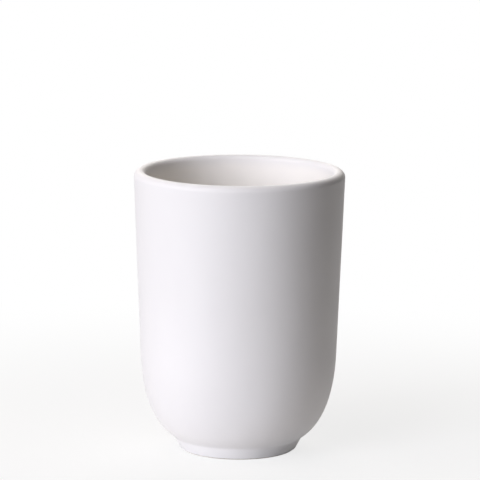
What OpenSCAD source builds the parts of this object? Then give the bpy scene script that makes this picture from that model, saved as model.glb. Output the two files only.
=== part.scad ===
// Yunomi tea cup: a tall handleless cup in white satin-glazed stoneware, on a small leaning foot.
// Every piece is turned about the Z axis. The origin is on the table, under the middle of the foot.
// Two clay pieces, the vessel and its foot ring, are luted together, and three glaze coats lie on them.
// Sizes are those of the finished cup: the clay lies one coat below the finished surface.

/* [Vessel] */
// Height of the finished cup, from the table to the lip's crest
cup_h = 100; // [80:0.5:120]
// Widest diameter of the finished cup, just under the lip
rim_d = 74.5; // [60:0.5:90]
// Thickness of the finished wall, both coats included
wall_t = 4.1; // [2.9:0.1:5]
// Lean of the straight wall from the vertical, in degrees, narrowing downwards
wall_lean = 2.25; // [0:0.05:5]
// Radius of the lip's outer edge, from the crest to the wall
lip_out_r = 2.3; // [1.2:0.1:2.6]

/* [Shoulder and heel] */
// Height where the straight wall turns into the shoulder
shoulder_h = 34.5; // [26:0.5:44]
// Distance over which the shoulder still follows the wall
shoulder_reach = 17; // [10:0.5:22]
// Distance over which the heel already follows its slope towards the foot
heel_reach = 7; // [3:0.5:12]
// Slope of the heel from the vertical, in degrees, where it meets the foot
heel_slope = 56; // [45:1:70]

/* [Inside] */
// Height of the finished floor above the table
floor_h = 9; // [7.5:0.1:14]
// Height above the floor where the inside leaves the line of the shoulder and turns into the floor
floor_turn_h = 8; // [3:0.5:12]

/* [Foot] */
// Diameter of the foot where its finished side would reach the table
foot_d = 41; // [34:0.5:50]
// Height of the inside corner between the foot and the heel
foot_h = 4.6; // [3.6:0.1:6]
// Lean of the foot's side from the vertical, in degrees, narrowing downwards
foot_lean = 28; // [10:1:36]
// Radius of the soft corner between the foot and the heel
foot_fillet_r = 3.3; // [1:0.1:5]
// Width of the clay foot ring at the table
ring_w = 4.8; // [3:0.1:7]
// Radius of the foot ring's two resting edges
foot_edge_r = 0.4; // [0.2:0.1:1]
// Draft of the recess inside the foot ring, in degrees, opening downwards
recess_draft = 6; // [0:1:15]
// Radius of the glazed corner in the recess
recess_fillet_r = 1.2; // [0.4:0.1:2]

/* [Glaze] */
// Thickness of a glaze coat
glaze_t = 0.35; // [0.2:0.05:0.5]
// Height of the bare clay band between the table and the glaze
bare_h = 0.5; // [0.3:0.1:1.8]
// Colour of the glaze
glaze_colour = "#f3f2f0"; // [#f3f2f0, #e9e4d8, #cfd6d2]
// Colour of the bare fired clay
clay_colour = "#e6e1d8"; // [#e6e1d8, #cdb9a0, #9a8674]

/* [Hidden] */

// Longest step of a round stretch, in degrees
arc_step = 5;
// Number of steps along a free curve
curve_steps = 36;
$fn = 120;

// Directions on a surface that leans in by some angle: down along it, and out of it
function down(lean) = [-sin(lean), -cos(lean)];
function out(lean) = [cos(lean), -sin(lean)];
function polar(r, angle) = r * [cos(angle), sin(angle)];

// Points of an arc, from one angle to another, both included
function arc(centre, r, from, to) =
    let (steps = ceil(abs(to - from) / arc_step))
    [for (i = [0:steps]) centre + polar(r, from + (to - from) * i / steps)];

// A cubic curve through its first and last control point, and its direction of travel
function bezier(p, t) =
    let (u = 1 - t) u^3 * p[0] + 3 * u^2 * t * p[1] + 3 * u * t^2 * p[2] + t^3 * p[3];
function bezier_travel(p, t) =
    let (u = 1 - t) u^2 * (p[1] - p[0]) + 2 * u * t * (p[2] - p[1]) + t^2 * (p[3] - p[2]);

// Points along a curve that runs downwards or inwards, shifted square to it, away from the axis
function curve(p, shift, last = curve_steps) =
    [for (i = [0:last])
        let (t = i / curve_steps, travel = bezier_travel(p, t))
        bezier(p, t) + shift * [-travel.y, travel.x] / norm(travel)];

function reverse(points) = [for (i = [len(points) - 1:-1:0]) points[i]];
function without_first(points) = [for (i = [1:len(points) - 1]) points[i]];

// Lip: an outer and an inner edge arc that meet at the crest, one wall apart
crest_r = rim_d / 2 - lip_out_r;
lip_in_r = (wall_t - lip_out_r * (1 + sin(wall_lean))) / (1 - sin(wall_lean));
lip_out_centre = [crest_r, cup_h - lip_out_r];
lip_in_centre = [crest_r, cup_h - lip_in_r];

// Wall: straight, from the lip to the shoulder
wall_top = lip_out_centre + lip_out_r * out(wall_lean);
wall_end = wall_top + down(wall_lean) * (wall_top.y - shoulder_h) / cos(wall_lean);

// Corner between heel and foot, and the fillet that rounds it
foot_corner = [foot_d / 2 + foot_h * tan(foot_lean), foot_h];
fillet_reach = foot_fillet_r * tan((heel_slope - foot_lean) / 2);
heel_end = foot_corner - down(heel_slope) * fillet_reach;
fillet_centre = heel_end + out(heel_slope) * foot_fillet_r;

// Luted joint: a flat seat at the middle of the clay's fillet
seat_angle = 180 - (heel_slope + foot_lean) / 2;
seat_h = (fillet_centre + polar(foot_fillet_r + glaze_t, seat_angle)).y;

// Shoulder: a free curve of the finished outside, from the wall to the heel
shoulder_curve = [
    wall_end,
    wall_end + down(wall_lean) * shoulder_reach,
    heel_end - down(heel_slope) * heel_reach,
    heel_end
];

// Inside: one wall within the shoulder, down to the step where an arc turns it into the flat floor
inside_shoulder = curve(shoulder_curve, -wall_t);
turn_step = len([for (p = inside_shoulder) if (p.y > floor_h + floor_turn_h) p]) - 1;
turn_start = inside_shoulder[turn_step];
turn_travel = bezier_travel(shoulder_curve, turn_step / curve_steps);
turn_slope = atan2(-turn_travel.x, -turn_travel.y);
turn_r = (turn_start.y - floor_h) / (1 - sin(turn_slope));
turn_centre = turn_start - turn_r * out(turn_slope);

// Clay foot: radius of its outer side and of its recess at a height above the table
foot_clay_r = foot_d / 2 - glaze_t / cos(foot_lean);
recess_r = foot_clay_r - ring_w;
function foot_side_r(z) = foot_clay_r + z * tan(foot_lean);
function recess_side_r(z) = recess_r - z * tan(recess_draft);

// Outside of the cup at a depth below the finished surface, from the crest down to the seat
function outside(depth) = concat(
    arc(lip_out_centre, lip_out_r - depth, 90, -wall_lean),
    curve(shoulder_curve, -depth),
    without_first(arc(fillet_centre, foot_fillet_r + depth, 180 - heel_slope, seat_angle))
);

// Foot's part of the fillet at a depth below the finished surface, from the seat downwards
function foot_fillet(depth) = arc(fillet_centre, foot_fillet_r + depth, seat_angle, 180 - foot_lean);

// Inside of the cup at a depth below the finished surface, from the crest down to the floor's middle
function inside(depth) = concat(
    arc(lip_in_centre, lip_in_r - depth, 90, 180 - wall_lean),
    curve(shoulder_curve, depth - wall_t, turn_step),
    without_first(arc(turn_centre, turn_r + depth, -turn_slope, -90)),
    [[0, floor_h - depth]]
);

// Resting edges of the clay foot, from the outer side round to the recess
function resting_edges() =
    let (
        e = foot_edge_r,
        outer = [foot_side_r(e) - e / cos(foot_lean), e],
        inner = [recess_side_r(e) + e / cos(recess_draft), e]
    )
    concat(
        arc(outer, e, -foot_lean, -90),
        arc(inner, e, -90, recess_draft - 180)
    );

// Rounded lower end of the outside coat, from its finished surface to the bare clay
function outside_nose() =
    let (end = [foot_side_r(bare_h), bare_h])
    arc(end - glaze_t * down(foot_lean), glaze_t, -foot_lean, -foot_lean - 90);

// Rounded lower end of the recess coat, from the bare clay to its finished surface
function recess_nose() =
    let (end = [recess_side_r(bare_h), bare_h])
    arc(end - glaze_t * down(-recess_draft), glaze_t, recess_draft - 90, recess_draft - 180);

// Glazed corner of the recess, from its side to its ceiling
function recess_corner() =
    let (
        z = seat_h - glaze_t - recess_fillet_r,
        r = recess_side_r(z) - (glaze_t + recess_fillet_r) / cos(recess_draft)
    )
    arc([r, z], recess_fillet_r, recess_draft, 90);

// A turned piece, from half of its section
module turned(section, colour) {
    color(colour) rotate_extrude() polygon(section);
}

// Clay vessel: lip, wall, shoulder, heel and floor, flat underneath where the foot is luted on
module cup_body() {
    turned(concat(
        outside(glaze_t),
        [[0, seat_h]],
        reverse(without_first(inside(glaze_t)))
    ), clay_colour);
}

// Clay foot ring: leaning side, rounded resting edges and drafted recess, flat on top
module foot_ring() {
    turned(concat(
        foot_fillet(glaze_t),
        resting_edges(),
        [[recess_side_r(seat_h), seat_h]]
    ), clay_colour);
}

// Outside coat: from the lip's crest over wall, heel and the luted joint to the bare band of the foot
module outside_glaze() {
    turned(concat(
        outside(0),
        without_first(foot_fillet(0)),
        outside_nose(),
        reverse(foot_fillet(glaze_t)),
        without_first(reverse(outside(glaze_t)))
    ), glaze_colour);
}

// Inside coat: from the lip's crest down the wall and over the floor
module inside_glaze() {
    turned(concat(inside(0), reverse(inside(glaze_t))), glaze_colour);
}

// Recess coat: the underside within the foot ring, and the ring's inner side down to the bare band
module foot_recess_glaze() {
    turned(concat(
        [[0, seat_h], [recess_side_r(seat_h), seat_h]],
        recess_nose(),
        recess_corner(),
        [[0, seat_h - glaze_t]]
    ), glaze_colour);
}

cup_body();
foot_ring();
outside_glaze();
inside_glaze();
foot_recess_glaze();
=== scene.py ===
"""A yunomi tea cup in satin white glaze over white stoneware, alone on a pale studio floor."""
import math

import bpy
from mathutils import Matrix, Vector, noise


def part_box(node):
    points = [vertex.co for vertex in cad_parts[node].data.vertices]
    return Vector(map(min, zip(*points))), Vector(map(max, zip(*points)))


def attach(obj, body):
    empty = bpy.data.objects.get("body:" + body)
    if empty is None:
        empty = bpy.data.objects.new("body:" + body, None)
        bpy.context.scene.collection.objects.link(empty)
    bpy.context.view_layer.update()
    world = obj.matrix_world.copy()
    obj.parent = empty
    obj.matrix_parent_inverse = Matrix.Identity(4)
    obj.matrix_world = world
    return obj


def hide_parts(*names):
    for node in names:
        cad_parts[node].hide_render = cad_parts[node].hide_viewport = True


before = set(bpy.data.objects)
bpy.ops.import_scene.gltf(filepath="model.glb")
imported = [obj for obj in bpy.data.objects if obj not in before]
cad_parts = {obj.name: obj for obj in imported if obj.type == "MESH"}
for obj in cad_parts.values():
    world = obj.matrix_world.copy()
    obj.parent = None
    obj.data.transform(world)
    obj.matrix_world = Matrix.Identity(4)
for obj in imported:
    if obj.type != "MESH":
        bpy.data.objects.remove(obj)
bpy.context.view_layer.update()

# Sizes of the finished cup, in metres and radians; its heights and its rim come from the frame
MM = 0.001
DEG = math.radians(1)
GLAZE_T = 0.35 * MM
CUP_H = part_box("outside_glaze")[1].z
RIM_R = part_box("outside_glaze")[1].x
FLOOR_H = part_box("inside_glaze")[0].z + GLAZE_T
SEAT_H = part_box("foot_ring")[1].z
WALL_T = 4.1 * MM
WALL_LEAN = 2.25 * DEG
LIP_OUT_R = 2.3 * MM
SHOULDER_H = 34.5 * MM
SHOULDER_REACH = 17 * MM
HEEL_REACH = 7 * MM
HEEL_SLOPE = 56 * DEG
FLOOR_TURN_H = 8 * MM
FOOT_R = 20.5 * MM
FOOT_H = 4.6 * MM
FOOT_LEAN = 28 * DEG
FOOT_FILLET_R = 3.3 * MM
FOOT_EDGE_R = 0.4 * MM
RING_W = 4.8 * MM
RECESS_DRAFT = 6 * DEG
RECESS_FILLET_R = 1.2 * MM
BARE_H = 0.5 * MM
CUP_MIDDLE = Vector((0, 0, CUP_H / 2))

# Fineness of the turned meshes, and the radius below which a point counts as on the axis
SEGMENTS = 288
ARC_STEP = 4 * DEG
CURVE_STEPS = 72
WALL_STEPS = 48
FLOOR_STEPS = 14
ON_AXIS = 1e-7

# Slight warp of the fired cup, and the turning lines on the bare resting face
WARP = 0.05 * MM
WARP_LENGTH = 28 * MM
TURNING_DEPTH = 0.025 * MM
TURNING_PITCH = 0.42 * MM
TURNING_STEPS = 6


# Section of the cup: points are (radius, height)
def down(lean):
    """Unit step down a surface that leans in by an angle from the vertical."""
    return Vector((-math.sin(lean), -math.cos(lean)))


def out(lean):
    """Unit normal out of that surface."""
    return Vector((math.cos(lean), -math.sin(lean)))


def arc(centre, radius, start, end):
    """Points of an arc, both ends included."""
    steps = max(2, math.ceil(abs(end - start) / ARC_STEP))
    angles = [start + (end - start) * i / steps for i in range(steps + 1)]
    return [centre + radius * Vector((math.cos(a), math.sin(a))) for a in angles]


def line(start, end, steps):
    """Points of a straight stretch, without its ends."""
    return [start.lerp(end, i / steps) for i in range(1, steps)]


def bezier(p, t):
    """Point of a cubic curve, from its first control point at 0 to its last at 1."""
    u = 1 - t
    return u**3 * p[0] + 3 * u**2 * t * p[1] + 3 * u * t**2 * p[2] + t**3 * p[3]


def travel(p, t):
    """Direction of travel along the curve."""
    u = 1 - t
    return u**2 * (p[1] - p[0]) + 2 * u * t * (p[2] - p[1]) + t**2 * (p[3] - p[2])


def shifted(p, t, shift):
    """Point of the curve, moved square to it, away from the axis."""
    d = travel(p, t).normalized()
    return bezier(p, t) + shift * Vector((-d.y, d.x))


# Lip: an outer and an inner edge arc that meet at the crest
crest_r = RIM_R - LIP_OUT_R
lip_in_r = (WALL_T - LIP_OUT_R * (1 + math.sin(WALL_LEAN))) / (1 - math.sin(WALL_LEAN))
lip_out_centre = Vector((crest_r, CUP_H - LIP_OUT_R))
lip_in_centre = Vector((crest_r, CUP_H - lip_in_r))

# Wall, shoulder and heel
wall_top = lip_out_centre + LIP_OUT_R * out(WALL_LEAN)
wall_end = wall_top + down(WALL_LEAN) * (wall_top.y - SHOULDER_H) / math.cos(WALL_LEAN)
foot_corner = Vector((FOOT_R + FOOT_H * math.tan(FOOT_LEAN), FOOT_H))
fillet_reach = FOOT_FILLET_R * math.tan((HEEL_SLOPE - FOOT_LEAN) / 2)
heel_end = foot_corner - down(HEEL_SLOPE) * fillet_reach
fillet_centre = heel_end + out(HEEL_SLOPE) * FOOT_FILLET_R
shoulder = [
    wall_end,
    wall_end + down(WALL_LEAN) * SHOULDER_REACH,
    heel_end - down(HEEL_SLOPE) * HEEL_REACH,
    heel_end,
]

# Inside: one wall within the shoulder, then an arc into the flat floor
curve_ts = [i / CURVE_STEPS for i in range(CURVE_STEPS + 1)]
inside_ts = [t for t in curve_ts if shifted(shoulder, t, -WALL_T).y > FLOOR_H + FLOOR_TURN_H]
turn_start = shifted(shoulder, inside_ts[-1], -WALL_T)
turn_travel = travel(shoulder, inside_ts[-1])
turn_slope = math.atan2(-turn_travel.x, -turn_travel.y)
turn_r = (turn_start.y - FLOOR_H) / (1 - math.sin(turn_slope))
turn_centre = turn_start - turn_r * out(turn_slope)

# Foot: clay radius at the table, outside and in the recess, and the luted seat's place on the fillet
foot_clay_r = FOOT_R - GLAZE_T / math.cos(FOOT_LEAN)
recess_r = foot_clay_r - RING_W
seat_angle = math.pi - (HEEL_SLOPE + FOOT_LEAN) / 2


def foot_side_r(z):
    """Radius of the clay foot's outer side at a height."""
    return foot_clay_r + z * math.tan(FOOT_LEAN)


def recess_side_r(z):
    """Radius of the clay recess at a height."""
    return recess_r - z * math.tan(RECESS_DRAFT)


def outside(depth):
    """Outside at a depth below the finished surface, from the crest down to the foot's straight side."""
    lip = arc(lip_out_centre, LIP_OUT_R - depth, math.pi / 2, -WALL_LEAN)
    curve = [shifted(shoulder, t, -depth) for t in curve_ts]
    fillet = arc(fillet_centre, FOOT_FILLET_R + depth, math.pi - HEEL_SLOPE, math.pi - FOOT_LEAN)
    return lip + line(lip[-1], curve[0], WALL_STEPS) + curve + fillet[1:]


def inside(depth):
    """Inside at a depth below the finished surface, from the crest down to the middle of the floor."""
    lip = arc(lip_in_centre, lip_in_r - depth, math.pi / 2, math.pi - WALL_LEAN)
    curve = [shifted(shoulder, t, depth - WALL_T) for t in inside_ts]
    turn = arc(turn_centre, turn_r + depth, -turn_slope, -math.pi / 2)
    middle = Vector((0, FLOOR_H - depth))
    wall = lip + line(lip[-1], curve[0], WALL_STEPS) + curve
    return wall + turn[1:] + line(turn[-1], middle, FLOOR_STEPS) + [middle]


def outside_section():
    """Outside coat, from the lip's crest to its rounded end on the bare foot."""
    end = Vector((foot_side_r(BARE_H), BARE_H))
    nose = arc(end - GLAZE_T * down(FOOT_LEAN), GLAZE_T, -FOOT_LEAN, -FOOT_LEAN - math.pi / 2)
    return outside(0) + nose + outside(GLAZE_T)[::-1]


def inside_section():
    """Inside coat, from the lip's crest to the middle of the floor."""
    return inside(0) + inside(GLAZE_T)[::-1]


def foot_section():
    """Clay foot ring, with fine turning lines on its resting face."""
    top = arc(fillet_centre, FOOT_FILLET_R + GLAZE_T, seat_angle, math.pi - FOOT_LEAN)
    e = FOOT_EDGE_R
    outer = Vector((foot_side_r(e) - e / math.cos(FOOT_LEAN), e))
    inner = Vector((recess_side_r(e) + e / math.cos(RECESS_DRAFT), e))
    outer_edge = arc(outer, e, -FOOT_LEAN, -math.pi / 2)
    inner_edge = arc(inner, e, -math.pi / 2, RECESS_DRAFT - math.pi)
    turns = round((outer.x - inner.x) / TURNING_PITCH)
    steps = TURNING_STEPS * turns
    face = line(outer_edge[-1], inner_edge[0], steps)
    for i, point in enumerate(face, 1):
        point.y += TURNING_DEPTH * (1 - math.cos(2 * math.pi * turns * i / steps)) / 2
    side = Vector((recess_side_r(SEAT_H), SEAT_H))
    return top + outer_edge + face + inner_edge + [side]


def recess_section():
    """Coat of the underside within the foot ring, with a rounded end on the bare foot."""
    seat = [Vector((0, SEAT_H)), Vector((recess_side_r(SEAT_H), SEAT_H))]
    end = Vector((recess_side_r(BARE_H), BARE_H))
    nose_centre = end - GLAZE_T * down(-RECESS_DRAFT)
    nose = arc(nose_centre, GLAZE_T, RECESS_DRAFT - math.pi / 2, RECESS_DRAFT - math.pi)
    z = SEAT_H - GLAZE_T - RECESS_FILLET_R
    r = recess_side_r(z) - (GLAZE_T + RECESS_FILLET_R) / math.cos(RECESS_DRAFT)
    corner = arc(Vector((r, z)), RECESS_FILLET_R, RECESS_DRAFT, math.pi / 2)
    middle = Vector((0, SEAT_H - GLAZE_T))
    ceiling = line(corner[-1], middle, FLOOR_STEPS)
    return seat + nose + corner + ceiling + [middle]


# Meshes
def warped(point):
    """A point of the fired cup, moved a little towards or from the axis, and less within the foot."""
    way = Vector((point.x, point.y, 0))
    if way.length < ON_AXIS:
        return point
    share = min(1, way.length / FOOT_R)
    return point + way.normalized() * WARP * noise.noise(point / WARP_LENGTH) * share


def turned(name, section):
    """A mesh piece: a closed section turned about Z. A section point on the axis becomes one vertex."""
    area = sum(a.cross(b) for a, b in zip(section, section[1:] + section[:1]))
    if area < 0:
        section = section[::-1]
    vertices, rings = [], []
    for r, z in section:
        count = SEGMENTS if r > ON_AXIS else 1
        rings.append(range(len(vertices), len(vertices) + count))
        for i in range(count):
            angle = 2 * math.pi * i / SEGMENTS
            vertices.append(warped(Vector((r * math.cos(angle), r * math.sin(angle), z))))
    faces = []
    for a, b in zip(rings, rings[1:] + rings[:1]):
        for i in range(SEGMENTS):
            j = (i + 1) % SEGMENTS
            corners = [a[i % len(a)], a[j % len(a)], b[j % len(b)], b[i % len(b)]]
            face = list(dict.fromkeys(corners))
            if len(face) > 2:
                faces.append(face)
    mesh = bpy.data.meshes.new(name)
    mesh.from_pydata(vertices, [], faces)
    mesh.validate()
    mesh.polygons.foreach_set("use_smooth", [True] * len(mesh.polygons))
    piece = bpy.data.objects.new(name, mesh)
    bpy.context.scene.collection.objects.link(piece)
    return piece


# Glaze: colours where it is thin and thick, how far the painted shade on its lip reaches down, and its
# surface
OUTSIDE_THIN = (0.87, 0.857, 0.845)
OUTSIDE_THICK = (0.895, 0.882, 0.87)
OUTSIDE_LIP_SHADE_DEPTH = 2.2 * MM
# Inside: a lighter, warmer copy of the same glaze, painted light that brightens the inside and warms its
# shade
INSIDE_LIT_THIN = (0.95, 0.928, 0.893)
INSIDE_LIT_THICK = (0.966, 0.946, 0.915)
INSIDE_LIP_SHADE_DEPTH = 5.0 * MM
# Painted shade: a darker colour over the lip and the top of the inside, toning down where the lamps
# light them most
LIP_PAINTED_SHADE = (0.863, 0.852, 0.846)
CLOUDS = {"scale": 42, "detail": 3, "stretch": (1, 1, 0.45)}
CLOUD_THIN = 0.3
CLOUD_THICK = 0.7
GLAZE_SHEEN = {"scale": 95}
GLAZE_ROUGHNESS = (0.52, 0.62)
GLAZE_IOR = 1.5
GLAZE_SPECULAR = 0.3
FLOW = {"scale": 130, "detail": 1, "stretch": (1, 1, 0.35)}
FLOW_DEPTH = 0.12 * MM
FLOW_STRENGTH = 0.35
PEEL = {"scale": 1100}
PEEL_DEPTH = 0.03 * MM
PEEL_STRENGTH = 0.3

# Bare clay: colours from its dark specks to its light grains, and its surface
GRAIN = {"scale": 2600, "detail": 4}
GRAIN_COLOURS = [
    (0.3, (0.62, 0.575, 0.51)),
    (0.5, (0.74, 0.70, 0.64)),
    (0.8, (0.80, 0.765, 0.71)),
]
GRAIN_DEPTH = 0.06 * MM
GRAIN_STRENGTH = 0.5
CLAY_SHEEN = {"scale": 700}
CLAY_ROUGHNESS = (0.78, 0.92)


# Materials
def new_material(name):
    """A material with its nodes, links and main shader."""
    material = bpy.data.materials.new(name)
    material.use_nodes = True
    nodes = material.node_tree.nodes
    return material, nodes, material.node_tree.links, nodes["Principled BSDF"]


def noise_at(nodes, links, scale, detail=2.0, stretch=(1, 1, 1)):
    """Noise over the object's own coordinates; scale is in features per metre."""
    place = nodes.new("ShaderNodeTexCoord")
    mapping = nodes.new("ShaderNodeMapping")
    mapping.inputs["Scale"].default_value = stretch
    texture = nodes.new("ShaderNodeTexNoise")
    texture.inputs["Scale"].default_value = scale
    texture.inputs["Detail"].default_value = detail
    links.new(place.outputs["Object"], mapping.inputs["Vector"])
    links.new(mapping.outputs["Vector"], texture.inputs["Vector"])
    return texture.outputs["Fac"]


def ramp(nodes, links, value, stops):
    """Colours along a value, as (place, colour) stops."""
    node = nodes.new("ShaderNodeValToRGB")
    elements = node.color_ramp.elements
    while len(elements) < len(stops):
        elements.new(0.5)
    for element, (place, colour) in zip(elements, stops):
        element.position = place
        element.color = (*colour, 1)
    links.new(value, node.inputs["Fac"])
    return node.outputs["Color"]


def remapped(nodes, links, value, low, high):
    """A 0 to 1 value spread over a range."""
    node = nodes.new("ShaderNodeMapRange")
    node.inputs["To Min"].default_value = low
    node.inputs["To Max"].default_value = high
    links.new(value, node.inputs["Value"])
    return node.outputs["Result"]


def bump(nodes, links, height, distance, strength, normal=None):
    """Relief from a height, on top of another relief where one is given."""
    node = nodes.new("ShaderNodeBump")
    node.inputs["Distance"].default_value = distance
    node.inputs["Strength"].default_value = strength
    links.new(height, node.inputs["Height"])
    if normal is not None:
        links.new(normal, node.inputs["Normal"])
    return node.outputs["Normal"]


def height_band(nodes, links, low, high):
    """0 below one height of the cup and 1 above another, with a soft step between."""
    place = nodes.new("ShaderNodeTexCoord")
    split = nodes.new("ShaderNodeSeparateXYZ")
    band = nodes.new("ShaderNodeMapRange")
    band.interpolation_type = "SMOOTHSTEP"
    band.inputs["From Min"].default_value = low
    band.inputs["From Max"].default_value = high
    links.new(place.outputs["Object"], split.inputs["Vector"])
    links.new(split.outputs["Z"], band.inputs["Value"])
    return band.outputs["Result"]


def mixed(nodes, links, factor, first, second):
    """Second colour over the first; a colour may be a socket or three numbers."""
    node = nodes.new("ShaderNodeMix")
    node.data_type = "RGBA"
    links.new(factor, node.inputs["Factor"])
    for name, colour in (("A", first), ("B", second)):
        socket = next(s for s in node.inputs if s.name == name and s.type == "RGBA")
        if isinstance(colour, tuple):
            socket.default_value = (*colour, 1)
        else:
            links.new(colour, socket)
    return next(s for s in node.outputs if s.type == "RGBA")


def satin_glaze(name, thin, thick, lip_shade_depth):
    """Opaque white glaze: broad soft sheen, faint clouds, fine orange peel and painted shade on the lip.
    """
    material, nodes, links, shader = new_material(name)
    clouds = noise_at(nodes, links, **CLOUDS)
    clouded = ramp(nodes, links, clouds, [(CLOUD_THIN, thin), (CLOUD_THICK, thick)])
    # Painted shade: the lip's darker colour, over a band down from the rim
    lip = height_band(nodes, links, CUP_H - lip_shade_depth, CUP_H)
    colour = mixed(nodes, links, lip, clouded, LIP_PAINTED_SHADE)
    links.new(colour, shader.inputs["Base Color"])
    sheen = noise_at(nodes, links, **GLAZE_SHEEN)
    links.new(remapped(nodes, links, sheen, *GLAZE_ROUGHNESS), shader.inputs["Roughness"])
    shader.inputs["IOR"].default_value = GLAZE_IOR
    shader.inputs["Specular IOR Level"].default_value = GLAZE_SPECULAR
    flow = bump(nodes, links, noise_at(nodes, links, **FLOW), FLOW_DEPTH, FLOW_STRENGTH)
    peel = bump(nodes, links, noise_at(nodes, links, **PEEL), PEEL_DEPTH, PEEL_STRENGTH, flow)
    links.new(peel, shader.inputs["Normal"])
    return material


def bare_clay():
    """Unglazed white stoneware: matt, fine sandy grain and a few darker specks."""
    material, nodes, links, shader = new_material("bare_white_clay")
    grain = noise_at(nodes, links, **GRAIN)
    links.new(ramp(nodes, links, grain, GRAIN_COLOURS), shader.inputs["Base Color"])
    sheen = noise_at(nodes, links, **CLAY_SHEEN)
    links.new(remapped(nodes, links, sheen, *CLAY_ROUGHNESS), shader.inputs["Roughness"])
    links.new(bump(nodes, links, grain, GRAIN_DEPTH, GRAIN_STRENGTH), shader.inputs["Normal"])
    return material


# Pieces
outside_white = satin_glaze("outside_white_glaze", OUTSIDE_THIN, OUTSIDE_THICK, OUTSIDE_LIP_SHADE_DEPTH)
# The inside coat's glaze is painted lighter and warmer than the outside's, standing in for light inside
# the cup
inside_painted_light_glaze = satin_glaze("inside_glaze_painted_lighter", INSIDE_LIT_THIN, INSIDE_LIT_THICK, INSIDE_LIP_SHADE_DEPTH)
clay = bare_clay()


def dressed(piece, material, slot, *nodes):
    """Gives a piece its finish and its place on the part."""
    piece.data.materials.append(material)
    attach(piece, "root")
    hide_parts(*nodes)


dressed(turned("outside_coat", outside_section()), outside_white, "white_glaze", "outside_glaze")
dressed(turned("inside_coat", inside_section()), inside_painted_light_glaze, "white_glaze", "inside_glaze")
dressed(turned("foot_clay", foot_section()), clay, "fired_clay", "foot_ring")
dressed(turned("recess_coat", recess_section()), outside_white, "white_glaze", "foot_recess_glaze")
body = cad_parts["cup_body"]
body.data.materials.clear()
body.data.materials.append(clay)


# Stage: a pale floor and a world, both white to the camera but for the cup's shadow on the floor
FLOOR_SIZE = 0.6
FLOOR_COLOUR = (0.935, 0.93, 0.92)
SHADOW_SHARE = 0.22
SHADOW_NEAR = 0.07
SHADOW_FAR = 0.27
AMBIENT = (0.004, 0.003, 0.002)
WHITE = (1, 1, 1)


def seen_directly(nodes, links):
    """1 on camera, glossy and transmission rays, 0 on others."""
    path = nodes.new("ShaderNodeLightPath")
    total = path.outputs["Is Camera Ray"]
    for ray in ("Is Glossy Ray", "Is Transmission Ray"):
        node = nodes.new("ShaderNodeMath")
        node.operation = "MAXIMUM"
        links.new(total, node.inputs[0])
        links.new(path.outputs[ray], node.inputs[1])
        total = node.outputs["Value"]
    return total


def pale_floor():
    """White to the camera but for a share of its real light near the cup, which carries the shadow."""
    material = bpy.data.materials.new("pale_floor")
    material.use_nodes = True
    nodes, links = material.node_tree.nodes, material.node_tree.links
    nodes.clear()
    lit = nodes.new("ShaderNodeBsdfDiffuse")
    lit.inputs["Color"].default_value = (*FLOOR_COLOUR, 1)
    white = nodes.new("ShaderNodeEmission")
    place = nodes.new("ShaderNodeTexCoord")
    away = nodes.new("ShaderNodeVectorMath")
    away.operation = "LENGTH"
    links.new(place.outputs["Object"], away.inputs[0])
    white_share = nodes.new("ShaderNodeMapRange")
    white_share.interpolation_type = "SMOOTHSTEP"
    white_share.inputs["From Min"].default_value = SHADOW_NEAR
    white_share.inputs["From Max"].default_value = SHADOW_FAR
    white_share.inputs["To Min"].default_value = 1 - SHADOW_SHARE
    links.new(away.outputs["Value"], white_share.inputs["Value"])
    share = nodes.new("ShaderNodeMath")
    share.operation = "MULTIPLY"
    links.new(white_share.outputs["Result"], share.inputs[0])
    links.new(seen_directly(nodes, links), share.inputs[1])
    mix = nodes.new("ShaderNodeMixShader")
    links.new(share.outputs["Value"], mix.inputs["Fac"])
    links.new(lit.outputs["BSDF"], mix.inputs[1])
    links.new(white.outputs["Emission"], mix.inputs[2])
    output = nodes.new("ShaderNodeOutputMaterial")
    links.new(mix.outputs["Shader"], output.inputs["Surface"])
    return material


def studio_world():
    """Hardly any light of its own, and white to the camera."""
    world = bpy.data.worlds.new("studio")
    world.use_nodes = True
    nodes, links = world.node_tree.nodes, world.node_tree.links
    nodes.clear()
    ambient = nodes.new("ShaderNodeBackground")
    ambient.inputs["Color"].default_value = (*AMBIENT, 1)
    white = nodes.new("ShaderNodeBackground")
    white.inputs["Color"].default_value = (*WHITE, 1)
    mix = nodes.new("ShaderNodeMixShader")
    links.new(seen_directly(nodes, links), mix.inputs["Fac"])
    links.new(ambient.outputs["Background"], mix.inputs[1])
    links.new(white.outputs["Background"], mix.inputs[2])
    output = nodes.new("ShaderNodeOutputWorld")
    links.new(mix.outputs["Shader"], output.inputs["Surface"])
    return world


half = FLOOR_SIZE / 2
floor_corners = [(-half, -half, 0), (half, -half, 0), (half, half, 0), (-half, half, 0)]
floor_mesh = bpy.data.meshes.new("floor")
floor_mesh.from_pydata(floor_corners, [], [(0, 1, 2, 3)])
floor = bpy.data.objects.new("floor", floor_mesh)
floor.data.materials.append(pale_floor())
bpy.context.scene.collection.objects.link(floor)
bpy.context.scene.world = studio_world()


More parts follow.
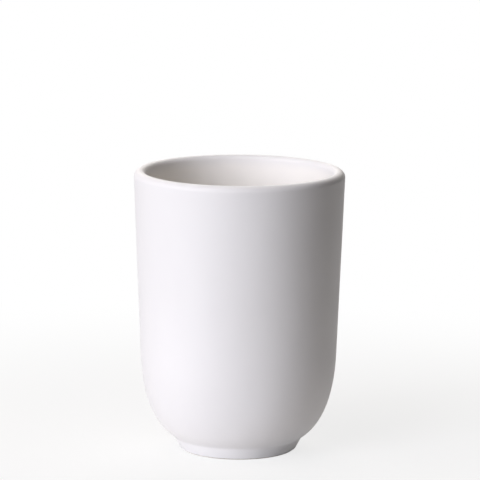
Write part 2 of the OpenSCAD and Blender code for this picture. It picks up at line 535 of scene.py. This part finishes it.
# Lamps, sized in metres and set in degrees and watts
def softbox(name, azimuth, elevation, distance, width, height, power, colour):
    """An area lamp aimed at the cup's middle. Azimuth 0 is the viewer's side, and 90 is to the right."""
    lamp = bpy.data.lights.new(name, "AREA")
    lamp.shape = "RECTANGLE"
    lamp.size = width
    lamp.size_y = height
    lamp.energy = power
    lamp.color = colour
    a, e = azimuth * DEG, elevation * DEG
    way = Vector((math.sin(a) * math.cos(e), -math.cos(a) * math.cos(e), math.sin(e)))
    holder = bpy.data.objects.new(name, lamp)
    holder.location = CUP_MIDDLE + way * distance
    holder.rotation_euler = way.to_track_quat("Z", "Y").to_euler()
    holder.visible_camera = False
    bpy.context.scene.collection.objects.link(holder)


softbox("key", azimuth=-43, elevation=17, distance=2.2, width=1.2, height=1.2,
        power=40.4, colour=(0.895, 0.905, 0.995))
softbox("above", azimuth=-60, elevation=64, distance=0.5, width=0.37, height=0.37,
        power=1.0, colour=(1.0, 0.93, 0.9))
softbox("behind", azimuth=180, elevation=32, distance=1.4, width=0.9, height=0.8,
        power=8.1, colour=(1.0, 0.945, 0.9))

# Camera: the photograph's view, with the cup's middle on its pixel of the 480 pixel frame
FRAME_PX = 480
MIDDLE_PX = Vector((238.74, 309.04))
PX_PER_METRE = 2817
SENSOR_MM = 36
DISTANCE = 1.2
ELEVATION = 11.48 * DEG
ROLL = 0.35 * DEG

focal_px = PX_PER_METRE * DISTANCE
camera = bpy.data.cameras.new("camera")
camera.sensor_width = SENSOR_MM
camera.lens = SENSOR_MM * focal_px / FRAME_PX
camera_holder = bpy.data.objects.new("camera", camera)
bpy.context.scene.collection.objects.link(camera_holder)
bpy.context.scene.camera = camera_holder
back = Vector((0, -math.cos(ELEVATION), math.sin(ELEVATION)))
place = Matrix.Translation(CUP_MIDDLE + back * DISTANCE)
facing = back.to_track_quat("Z", "Y").to_matrix().to_4x4()
offset = MIDDLE_PX - Vector((FRAME_PX / 2, FRAME_PX / 2))
sight = Vector((offset.x, -offset.y, -focal_px))
aim = sight.rotation_difference(Vector((0, 0, -1))).to_matrix().to_4x4()
camera_holder.matrix_world = place @ facing @ Matrix.Rotation(ROLL, 4, "Z") @ aim

bpy.context.scene.view_settings.view_transform = "Standard"
